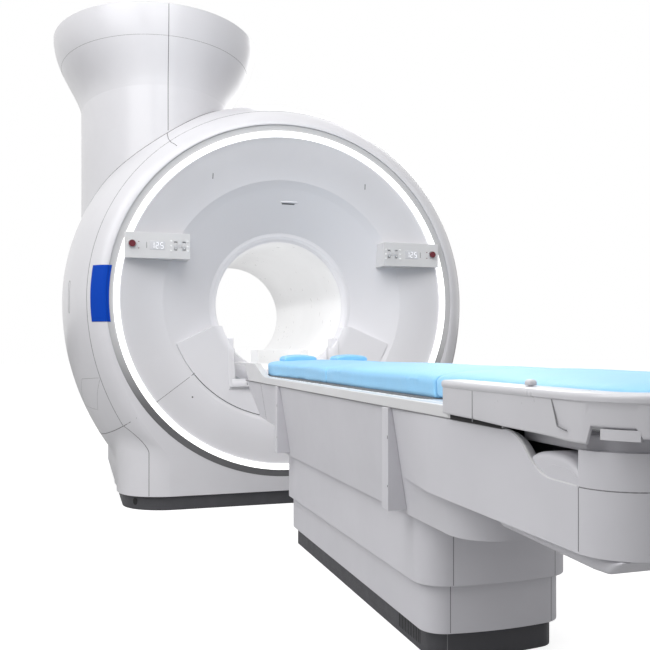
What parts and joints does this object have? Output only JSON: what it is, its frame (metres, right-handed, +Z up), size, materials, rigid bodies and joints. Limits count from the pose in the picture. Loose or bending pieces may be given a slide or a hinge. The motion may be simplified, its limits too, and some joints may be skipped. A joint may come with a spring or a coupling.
{
  "type": "mri scanner",
  "caption": "Whole-body MRI scanner with a round drum casing, flared service chimney, glowing ring round a wide patient bore, and a lifting table whose top travels into the bore.",
  "frame": {"origin": "on the floor under the magnet's isocentre", "axes": "+Z up, +Y along the patient bore into the magnet, +X to the right of someone who faces the bore"},
  "size_m": [2.306, 5.284, 2.614],
  "materials": {
    "casing_white": "satin gel coat",
    "dish_gray": "satin",
    "panel_white": "satin",
    "light_ring": "opal diffuser",
    "bezel_gray": "satin",
    "plinth_dark": "fine grained",
    "badge_blue": "plain, blank",
    "liner_white": "gloss",
    "vessel_steel": "brushed",
    "coil_resin": "cast resin",
    "frame_steel": "powder coat",
    "column_alu": "anodised",
    "table_gray": "satin",
    "rail_white": "satin",
    "tabletop_white": "satin",
    "tub_white": "satin",
    "mattress_blue": "wipe-clean coated fabric",
    "stop_red": "gloss",
    "key_gray": "matte",
    "duct_gray": "matte"
  },
  "bodies": {
    "scanner": {"magnet_cradle": "frame_steel", "magnet_vessel": "vessel_steel", "gradient_coil": "coil_resin", "body_coil": "coil_resin", "bore_liner": "liner_white", "bridge_rails": "liner_white", "coil_connectors": "dish_gray", "front_cover": "dish_gray", "lower_ring_panel": "dish_gray", "docking_cover": "dish_gray", "light_ring": "light_ring", "ring_bezel": "bezel_gray", "front_band": "casing_white", "base_front_cover": "casing_white", "side_cover_left": "casing_white", "side_cover_right": "casing_white", "base_cover_left": "casing_white", "base_cover_right": "casing_white", "rear_cover": "casing_white", "casing_skirt": "plinth_dark", "name_plate": "badge_blue", "chimney_cover_left": "casing_white", "chimney_cover_right": "casing_white", "chimney_lid": "casing_white", "quench_pipe": "vessel_steel", "control_panel_left": "panel_white", "control_panel_right": "panel_white", "floor_duct": "duct_gray", "table_base": "column_alu", "table_plinth": "plinth_dark"},
    "table_body": {"lift_frame": "column_alu", "table_deck": "frame_steel", "side_panel_left": "table_gray", "side_panel_right": "table_gray", "gantry_end_cover": "table_gray", "foot_end_cover": "table_gray", "lower_tray": "table_gray", "top_rail_left": "rail_white", "top_rail_right": "rail_white", "side_fins": "table_gray"},
    "column_middle": {"column_middle": "column_alu"},
    "lower_shroud": {"lower_shroud": "table_gray"},
    "upper_shroud": {"upper_shroud": "table_gray"},
    "carriage": {"carriage": "frame_steel"},
    "tabletop": {"tabletop": "tabletop_white", "mattress_head": "mattress_blue", "mattress_middle": "mattress_blue", "mattress_foot": "mattress_blue", "arm_pad_left": "mattress_blue", "arm_pad_right": "mattress_blue", "foot_tub": "tub_white"},
    "release_knob": {"release_knob": "key_gray"},
    "stop_button_left": {"stop_button_left": "stop_red"},
    "rocker_inner_left": {"rocker_inner_left": "key_gray"},
    "rocker_outer_left": {"rocker_outer_left": "key_gray"},
    "key_enable_left": {"key_enable_left": "key_gray"},
    "stop_button_right": {"stop_button_right": "stop_red"},
    "rocker_inner_right": {"rocker_inner_right": "key_gray"},
    "rocker_outer_right": {"rocker_outer_right": "key_gray"},
    "key_enable_right": {"key_enable_right": "key_gray"}
  },
  "joints": [
    {"name": "table_lift", "type": "slide", "parent": "scanner", "child": "table_body", "axis": [0, 0, 1], "range_m": [-0.234, 0.14]},
    {"name": "column_middle_slide", "type": "slide", "parent": "scanner", "child": "column_middle", "axis": [0, 0, 1], "range_m": [-0.117, 0.07]},
    {"name": "lower_shroud_slide", "type": "slide", "parent": "scanner", "child": "lower_shroud", "axis": [0, 0, 1], "range_m": [-0.0585, 0.035]},
    {"name": "upper_shroud_slide", "type": "slide", "parent": "scanner", "child": "upper_shroud", "axis": [0, 0, 1], "range_m": [-0.1404, 0.084]},
    {"name": "carriage_travel", "type": "slide", "parent": "table_body", "child": "carriage", "axis": [0, 1, 0], "range_m": [0, 0.68]},
    {"name": "tabletop_travel", "type": "slide", "parent": "carriage", "child": "tabletop", "axis": [0, 1, 0], "range_m": [0, 0.68]},
    {"name": "release_knob_pull", "type": "slide", "parent": "tabletop", "child": "release_knob", "axis": [0, 0, 1], "range_m": [0, 0.012], "stiffness_N_per_m": 400},
    {"name": "stop_left_press", "type": "slide", "parent": "scanner", "child": "stop_button_left", "axis": [0, 1, 0], "range_m": [0, 0.005], "stiffness_N_per_m": 1200},
    {"name": "rocker_inner_left_tilt", "type": "hinge", "parent": "scanner", "child": "rocker_inner_left", "pos_m": [-0.545, -0.9515, 1.322], "axis": [1, 0, 0], "range_deg": [-4, 4], "stiffness_Nm_per_rad": 0.6},
    {"name": "rocker_outer_left_tilt", "type": "hinge", "parent": "scanner", "child": "rocker_outer_left", "pos_m": [-0.587, -0.9515, 1.322], "axis": [1, 0, 0], "range_deg": [-4, 4], "stiffness_Nm_per_rad": 0.6},
    {"name": "key_enable_left_press", "type": "slide", "parent": "scanner", "child": "key_enable_left", "axis": [0, 1, 0], "range_m": [0, 0.0015], "stiffness_N_per_m": 800},
    {"name": "stop_right_press", "type": "slide", "parent": "scanner", "child": "stop_button_right", "axis": [0, 1, 0], "range_m": [0, 0.005], "stiffness_N_per_m": 1200},
    {"name": "rocker_inner_right_tilt", "type": "hinge", "parent": "scanner", "child": "rocker_inner_right", "pos_m": [0.545, -0.9515, 1.322], "axis": [1, 0, 0], "range_deg": [-4, 4], "stiffness_Nm_per_rad": 0.6},
    {"name": "rocker_outer_right_tilt", "type": "hinge", "parent": "scanner", "child": "rocker_outer_right", "pos_m": [0.587, -0.9515, 1.322], "axis": [1, 0, 0], "range_deg": [-4, 4], "stiffness_Nm_per_rad": 0.6},
    {"name": "key_enable_right_press", "type": "slide", "parent": "scanner", "child": "key_enable_right", "axis": [0, 1, 0], "range_m": [0, 0.0015], "stiffness_N_per_m": 800}
  ],
  "couplings": [
    {"joint": "column_middle_slide", "follows": "table_lift", "ratio": 0.5},
    {"joint": "lower_shroud_slide", "follows": "table_lift", "ratio": 0.25},
    {"joint": "upper_shroud_slide", "follows": "table_lift", "ratio": 0.6}
  ]
}
